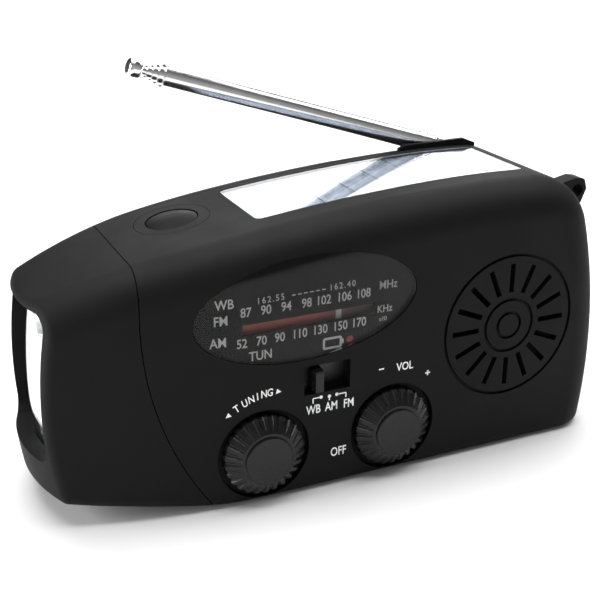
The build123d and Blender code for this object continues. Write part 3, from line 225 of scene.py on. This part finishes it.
def thin_clear(name, tint, rough, gloss):
    """A thin clear sheet: light passes straight through, and a share of it is mirrored."""
    made, tree, body = clear_base(name, GLARE, rough, Metallic=1.0)
    facing = tree.nodes.new("ShaderNodeLayerWeight")
    facing.inputs["Blend"].default_value = gloss
    mix_shaders(tree, facing.outputs["Fresnel"], see_through(tree, tint), body)
    return made


def solar_cell(name, **base):
    """Silicon with mottled crystals and fine printed silver fingers."""
    made = surface(name, **base)
    return repaint(made, stripes(made.node_tree, "X", CELL_LINE_PITCH_MM, CELL_LINE_SHARE), CELL_LINE)


def tuning_strip(name, **base):
    """The dial's red tuning band, which turns brown towards its right end."""
    made = surface(name, **base)
    tree = made.node_tree
    return repaint(made, ramp(tree, along(tree, "X"), 0, 1, FADE_START_MM * MM, FADE_END_MM * MM), STRIP_END)


# one recipe for each material slot of the record
RECIPES = {
    "casing": (surface, dict(
        colour=(0.0050, 0.0050, 0.0054), rough=0.62, vary=0.12, patch_mm=9.0, rough_vary=0.05,
        grain_mm=0.22, grain_height_mm=0.012, Specular_IOR_Level=0.13,
    )),
    "knob_plastic": (surface, dict(
        colour=(0.008, 0.008, 0.0085), rough=0.28, vary=0.12, patch_mm=5.0, rough_vary=0.05,
        grain_mm=0.18, grain_height_mm=0.01, Specular_IOR_Level=0.27,
    )),
    "button_rubber": (surface, dict(
        colour=(0.006, 0.006, 0.0065), rough=0.5, vary=0.12, patch_mm=4.0, rough_vary=0.05,
        grain_mm=0.2, grain_height_mm=0.015, Specular_IOR_Level=0.08,
    )),
    "cover_rubber": (surface, dict(
        colour=(0.013, 0.013, 0.014), rough=0.68, vary=0.12, patch_mm=4.0, rough_vary=0.05,
        grain_mm=0.2, grain_height_mm=0.02,
    )),
    "lamp_lens": (clear, dict(tint=(0.97, 0.98, 0.99), rough=0.03)),
    "dial_lens": (thin_clear, dict(tint=(0.80, 0.80, 0.80), rough=0.08, gloss=0.18)),
    "solar_cover": (clear, dict(tint=(0.95, 0.97, 0.99), rough=0.04, ior=1.7)),
    "reflector_chrome": (surface, dict(
        colour=(0.92, 0.93, 0.94), rough=0.22, vary=0.02, patch_mm=5.0, rough_vary=0.04,
        grain_height_mm=0, Metallic=1.0,
    )),
    "led_resin": (surface, dict(
        colour=(0.85, 0.83, 0.62), rough=0.18, vary=0.06, patch_mm=1.5, rough_vary=0.04, Coat_Weight=0.7,
    )),
    "indicator_red": (surface, dict(
        colour=(0.55, 0.02, 0.015), rough=0.2, vary=0.1, patch_mm=1.0, rough_vary=0.04, Coat_Weight=0.6,
    )),
    "dial_black": (surface, dict(
        colour=(0.006, 0.0055, 0.0055), rough=0.5, patch_mm=4.0, grain_height_mm=0, Specular_IOR_Level=0.1,
    )),
    "dial_red": (tuning_strip, dict(colour=(0.62, 0.13, 0.10), rough=0.4, vary=0.12, patch_mm=3.0)),
    "pointer_white": (surface, dict(colour=(0.75, 0.72, 0.70), rough=0.4, vary=0.05, patch_mm=2.0)),
    "solar_cell": (solar_cell, dict(
        colour=(0.15, 0.17, 0.21), rough=0.22, vary=0.45, patch_mm=2.5, rough_vary=0.05,
        grain_height_mm=0, Coat_Weight=0.6,
    )),
    "board_green": (surface, dict(
        colour=(0.02, 0.12, 0.05), rough=0.4, vary=0.3, patch_mm=2.0, rough_vary=0.08,
        grain_mm=0.6, grain_height_mm=0.02,
    )),
    "switch_black": (surface, dict(colour=(0.018, 0.018, 0.018), rough=0.45, patch_mm=2.0)),
    "switch_metal": (surface, dict(
        colour=(0.62, 0.62, 0.60), rough=0.3, vary=0.08, patch_mm=1.5, Metallic=1.0,
    )),
    "gear_white": (surface, dict(colour=(0.72, 0.71, 0.66), rough=0.45, vary=0.05, patch_mm=3.0)),
    "steel": (surface, dict(
        colour=(0.56, 0.56, 0.57), rough=0.3, vary=0.1, patch_mm=1.5, rough_vary=0.1,
        grain_mm=0.15, grain_height_mm=0.006, Metallic=1.0,
    )),
    "speaker_paper": (surface, dict(
        colour=(0.022, 0.021, 0.020), rough=0.85, vary=0.3, patch_mm=0.7, rough_vary=0.05,
        grain_mm=0.3, grain_height_mm=0.04,
    )),
    "magnet_ferrite": (surface, dict(
        colour=(0.05, 0.05, 0.052), rough=0.6, vary=0.25, patch_mm=1.2, rough_vary=0.08,
        grain_mm=0.4, grain_height_mm=0.03,
    )),
    "battery_wrap": (surface, dict(colour=(0.05, 0.14, 0.30), rough=0.35, vary=0.1)),
    "holder_plastic": (surface, dict(colour=(0.03, 0.03, 0.03), rough=0.5, vary=0.12, patch_mm=4.0)),
    "stator_steel": (surface, dict(
        colour=(0.30, 0.22, 0.16), rough=0.45, vary=0.3, patch_mm=1.0, rough_vary=0.1, Metallic=0.8,
    )),
    "antenna_chrome": (surface, dict(
        colour=(0.92, 0.92, 0.92), rough=0.17, vary=0.03, patch_mm=3.0, rough_vary=0.03,
        grain_height_mm=0, Metallic=1.0,
    )),
}
LOOKS = {name: make(name, **values) for name, (make, values) in RECIPES.items()}
PRINT = surface(
    "print_white",
    colour=(0.95, 0.95, 0.94),
    rough=0.45,
    vary=0.05,
    patch_mm=1.2,
    rough_vary=0.05,
    grain_mm=0.1,
    grain_height_mm=0.004,
)

for part in frame["record"]["subparts"]:
    node = frame["nodes"][part["node"]]
    node.data.materials.clear()
    node.data.materials.append(LOOKS[part["material_slot"]])

# ---------------------------------------------------------------- printing
PRINT_PROUD_MM = 0.035
PRINT_THICK_MM = 0.08
RAY_START_MM = -60.0                # in front of everything that is printed on


class Print:
    """Thin printed marks laid on a node's front, gathered into one piece. Places are in millimetres."""

    def __init__(self, name, node, shift=(0.0, 0.0)):
        mesh = frame["nodes"][node].data
        self.tree = BVHTree.FromPolygons([v.co for v in mesh.vertices], [p.vertices for p in mesh.polygons])
        self.name = name
        self.shift = shift
        self.vertices = []
        self.faces = []

    def add(self, vertices, faces, x, z, angle):
        """vertices are (across, up, depth) about the point (x, z); depth runs from 0 to 1."""
        first = len(self.vertices)
        cosine, sine = math.cos(math.radians(angle)), math.sin(math.radians(angle))
        for across, upward, depth in vertices:
            px = x + self.shift[0] + across * cosine - upward * sine
            pz = z + self.shift[1] + across * sine + upward * cosine
            start = Vector((px, RAY_START_MM, pz)) * MM
            hit = self.tree.ray_cast(start, Vector((0, 1, 0)))[0]
            if hit is None:
                raise ValueError(f"{self.name}: nothing lies behind ({px:.1f}, {pz:.1f})")
            sink = (depth * PRINT_THICK_MM - PRINT_PROUD_MM) * MM
            self.vertices.append((px * MM, hit.y + sink, pz * MM))
        self.faces.extend([tuple(first + i for i in face) for face in faces])

    def text(self, words, x, z, size, angle=0.0, squeeze=1.0, weight=0.0, spacing=1.0):
        """Words centred at (x, z), with capitals about 0.7 times size high."""
        curve = bpy.data.curves.new("words", "FONT")
        curve.body = words
        curve.size = size
        curve.align_x = "CENTER"
        curve.align_y = "CENTER"
        curve.offset = weight
        curve.space_character = spacing
        curve.resolution_u = 3
        curve.extrude = 0.5
        shown = bpy.data.objects.new("words", curve)
        bpy.context.scene.collection.objects.link(shown)
        bpy.context.view_layer.update()
        mesh = bpy.data.meshes.new_from_object(shown)
        vertices = [(v.co.x * squeeze, v.co.y, curve.extrude - v.co.z) for v in mesh.vertices]
        self.add(vertices, [tuple(p.vertices) for p in mesh.polygons], x, z, angle)
        bpy.data.objects.remove(shown)
        bpy.data.curves.remove(curve)
        bpy.data.meshes.remove(mesh)

    def prism(self, corners, x, z, angle):
        """A thin plate with that outline."""
        count = len(corners)
        vertices = [(across, upward, depth) for depth in (0, 1) for across, upward in corners]
        faces = [tuple(range(count)), tuple(reversed(range(count, 2 * count)))]
        for i in range(count):
            j = (i + 1) % count
            faces.append((i, i + count, j + count, j))
        self.add(vertices, faces, x, z, angle)

    def bar(self, x0, z0, x1, z1, width):
        """A straight stroke between two points."""
        end, side = math.hypot(x1 - x0, z1 - z0) / 2, width / 2
        corners = [(-end, -side), (end, -side), (end, side), (-end, side)]
        self.prism(corners, (x0 + x1) / 2, (z0 + z1) / 2, math.degrees(math.atan2(z1 - z0, x1 - x0)))

    def disc(self, x, z, radius, sides=20):
        """A round dot."""
        steps = [2 * math.pi * i / sides for i in range(sides)]
        self.prism([(radius * math.cos(a), radius * math.sin(a)) for a in steps], x, z, 0.0)

    def finish(self, body, look):
        """Make the piece and let it ride on a body."""
        mesh = bpy.data.meshes.new(self.name)
        mesh.from_pydata(self.vertices, [], self.faces)
        mesh.update()
        mesh.materials.append(look)
        made = bpy.data.objects.new(self.name, mesh)
        bpy.context.scene.collection.objects.link(made)
        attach(made, body)


# ---- marks on the casing: words at their middles, strokes from point to point
TUNING_KNOB = (-20.6, 11.1)
TUNING_LETTERS = (
    ("T", -26.4, 22.5),
    ("U", -24.7, 23.4),
    ("N", -23.3, 24.0),
    ("I", -22.0, 24.4),
    ("N", -20.6, 24.7),
    ("G", -19.3, 24.8),
)
TUNING_ARROWS = ((-28.2, 21.3, -1), (-17.5, 24.7, 1))
ARROW_HALF = 0.55
ARROW_POINT, ARROW_BACK = 1.2 * ARROW_HALF, -0.8 * ARROW_HALF
MINUS = ((5.3, 25.1, 6.5, 25.1),)
PLUS = ((16.6, 22.1, 17.8, 22.1), (17.2, 21.5, 17.2, 22.7))
SIGN_WIDTH = 0.3
BAND_LABELS = (("WB", -9.7, 18.9), ("AM", -5.6, 18.9), ("FM", -1.6, 18.8))
BAND_DOTS = ((-8.0, 21.5), (-6.1, 21.3), (-4.4, 21.4))
BAND_DOT_R = 0.38
BAND_LINES = (
    (-8.0, 21.5, -9.8, 21.5),
    (-9.8, 21.5, -9.8, 20.4),
    (-6.1, 21.3, -6.1, 20.4),
    (-4.4, 21.4, -2.3, 21.4),
    (-2.3, 21.4, -2.3, 20.4),
)
BAND_LINE_WIDTH = 0.24


def lean(x, z):
    """The slope of a mark whose foot points at the tuning knob's middle."""
    return math.degrees(math.atan2(z - TUNING_KNOB[1], x - TUNING_KNOB[0])) - 90


def print_front():
    """The names and signs round the knobs and the band switch."""
    front = Print("print_front", "front_case")
    for letter, x, z in TUNING_LETTERS:
        front.text(letter, x, z, size=2.3, angle=lean(x, z), squeeze=0.8, weight=0.03)
    for x, z, way in TUNING_ARROWS:
        corners = [(ARROW_POINT * way, 0), (ARROW_BACK * way, ARROW_HALF), (ARROW_BACK * way, -ARROW_HALF)]
        front.prism(corners, x, z, lean(x, z))
    front.text("VOL", 11.5, 24.7, size=2.6, squeeze=0.8, weight=0.03)
    front.text("OFF", -3.8, 7.9, size=2.9, squeeze=0.72, weight=0.03)
    for stroke in MINUS + PLUS:
        front.bar(*stroke, SIGN_WIDTH)
    for words, x, z in BAND_LABELS:
        front.text(words, x, z, size=2.8, squeeze=0.72, weight=0.035)
    for x, z in BAND_DOTS:
        front.disc(x, z, BAND_DOT_R)
    for stroke in BAND_LINES:
        front.bar(*stroke, BAND_LINE_WIDTH)
    front.finish("case", PRINT)


# ---- marks on the dial, placed as for the casing's front face and shifted to the plate's depth
PLATE_SHIFT = (0.50, -0.49)
DIAL_BOLD = 0.03
DIAL_SQUEEZE = 0.85
DIAL_LABELS = (("WB", -28.6, 45.0), ("FM", -29.4, 41.7), ("AM", -30.0, 37.2), ("TUN", -21.3, 33.3))
FM_ROW = ((87, -24.3), (90, -20.1), (94, -15.8), (98, -11.4), (102, -7.7), (106, -3.1), (108, 1.2))
FM_Z = 42.8
AM_ROW = ((52, -25.2), (70, -21.1), (90, -17.2), (110, -12.9), (130, -8.4), (150, -3.9), (170, 0.35))
AM_Z, AM_RISE = 36.6, 0.01
NUMBER_SIZE = 2.75
NUMBER_SQUEEZE = 0.82
WEATHER_TILT = 1.5
WEATHER_NUMBERS = (("162.55", -19.1, 44.9), ("162.40", -3.55, 45.3))
DASHES = 6
DASH_X, DASH_Z = -14.6, 45.0
DASH_LENGTH, DASH_WIDTH = 0.8, 0.2
DASH_PITCH, DASH_RISE = 1.3, 0.03
BATTERY_X, BATTERY_Z = -5.6, 33.2
BATTERY_HALF_X, BATTERY_HALF_Z = 1.9, 1.05
BATTERY_CAP_X, BATTERY_CAP_HALF_Z = 2.3, 0.5
BATTERY_LINE = 0.5


def print_dial():
    """The scales of the dial, their names and the battery sign."""
    dial = Print("print_dial", "dial_plate", PLATE_SHIFT)
    for words, x, z in DIAL_LABELS:
        dial.text(words, x, z, size=2.8, squeeze=DIAL_SQUEEZE, weight=DIAL_BOLD)
    for number, x in FM_ROW:
        dial.text(str(number), x, FM_Z, NUMBER_SIZE, squeeze=NUMBER_SQUEEZE, weight=DIAL_BOLD)
    for number, x in AM_ROW:
        dial.text(str(number), x, AM_Z + AM_RISE * x, NUMBER_SIZE, squeeze=NUMBER_SQUEEZE, weight=DIAL_BOLD)
    for words, x, z in WEATHER_NUMBERS:
        dial.text(words, x, z, size=1.9, angle=WEATHER_TILT, squeeze=0.9, spacing=1.3)
    for dash in range(DASHES):
        x, z = DASH_X + DASH_PITCH * dash, DASH_Z + DASH_RISE * dash
        dial.bar(x, z, x + DASH_LENGTH, z, DASH_WIDTH)
    dial.text("MHz", 6.9, 43.9, size=2.6, squeeze=DIAL_SQUEEZE, weight=0.01)
    dial.text("KHz", 6.25, 38.7, size=2.3, squeeze=DIAL_SQUEEZE, weight=0.01)
    dial.text("x10", 5.9, 36.5, size=1.4, squeeze=DIAL_SQUEEZE)
    left, low = BATTERY_X - BATTERY_HALF_X, BATTERY_Z - BATTERY_HALF_Z
    far, high = BATTERY_X + BATTERY_HALF_X, BATTERY_Z + BATTERY_HALF_Z
    cap = BATTERY_X + BATTERY_CAP_X
    for stroke in (
        (left, low, far, low),
        (far, low, far, high),
        (far, high, left, high),
        (left, high, left, low),
        (cap, BATTERY_Z - BATTERY_CAP_HALF_Z, cap, BATTERY_Z + BATTERY_CAP_HALF_Z),
    ):
        dial.bar(*stroke, BATTERY_LINE)
    dial.finish("case", PRINT)


print_front()
print_dial()

# ---------------------------------------------------------------- floor and light
FLOOR_HALF = 4.0
SKY_LOW, SKY_HIGH = 0.05, 0.42      # strength of the sky in front and behind
SKY_AXIS = (-0.2, -0.75, -0.3)
SKY_START, SKY_END = -0.1, 0.7
# name, place, target, width, height and power
SOFTBOXES = (
    ("overhead", (0.1, 0.25, 1.3), (0, 0, 0), 1.4, 1.4, 32),
    ("behind", (0.57, 1.05, 0.42), (0, 0, 0.05), 1.1, 0.5, 4.5),
    ("right", (0.95, 0.06, 0.74), (0, 0, 0.03), 0.6, 0.6, 3),
    ("left", (-0.8, 0.15, 0.25), (-0.06, 0, 0.03), 0.5, 0.6, 8),
)


def lay_floor():
    """A plain pale floor."""
    mesh = bpy.data.meshes.new("floor")
    corners = [(x * FLOOR_HALF, y * FLOOR_HALF, 0) for x, y in ((-1, -1), (1, -1), (1, 1), (-1, 1))]
    mesh.from_pydata(corners, [], [(0, 1, 2, 3)])
    look = surface(
        "floor", (0.86, 0.86, 0.86), rough=0.7, vary=0.01, patch_mm=60.0, rough_vary=0.03, grain_height_mm=0
    )
    mesh.materials.append(look)
    floor = bpy.data.objects.new("floor", mesh)
    bpy.context.scene.collection.objects.link(floor)


def light_sky():
    """A white sky that is brightest behind the radio."""
    world = bpy.data.worlds.new("studio")
    world.use_nodes = True
    tree = world.node_tree
    background = tree.nodes["Background"]
    place = tree.nodes.new("ShaderNodeTexCoord")
    slope = tree.nodes.new("ShaderNodeVectorMath")
    slope.operation = "DOT_PRODUCT"
    slope.inputs[1].default_value = SKY_AXIS
    tree.links.new(place.outputs["Generated"], slope.inputs[0])
    strength = ramp(tree, slope.outputs["Value"], SKY_LOW, SKY_HIGH, SKY_START, SKY_END)
    tree.links.new(strength, background.inputs["Strength"])
    background.inputs["Color"].default_value = (1, 1, 1, 1)
    bpy.context.scene.world = world


def softbox(name, place, target, width, height, power):
    """A rectangular soft light that faces target."""
    data = bpy.data.lights.new(name, "AREA")
    data.shape = "RECTANGLE"
    data.size = width
    data.size_y = height
    data.energy = power
    lamp = bpy.data.objects.new(name, data)
    bpy.context.scene.collection.objects.link(lamp)
    lamp.location = place
    lamp.rotation_mode = "QUATERNION"
    lamp.rotation_quaternion = (Vector(target) - Vector(place)).to_track_quat("-Z", "Y")


lay_floor()
light_sky()
for values in SOFTBOXES:
    softbox(*values)
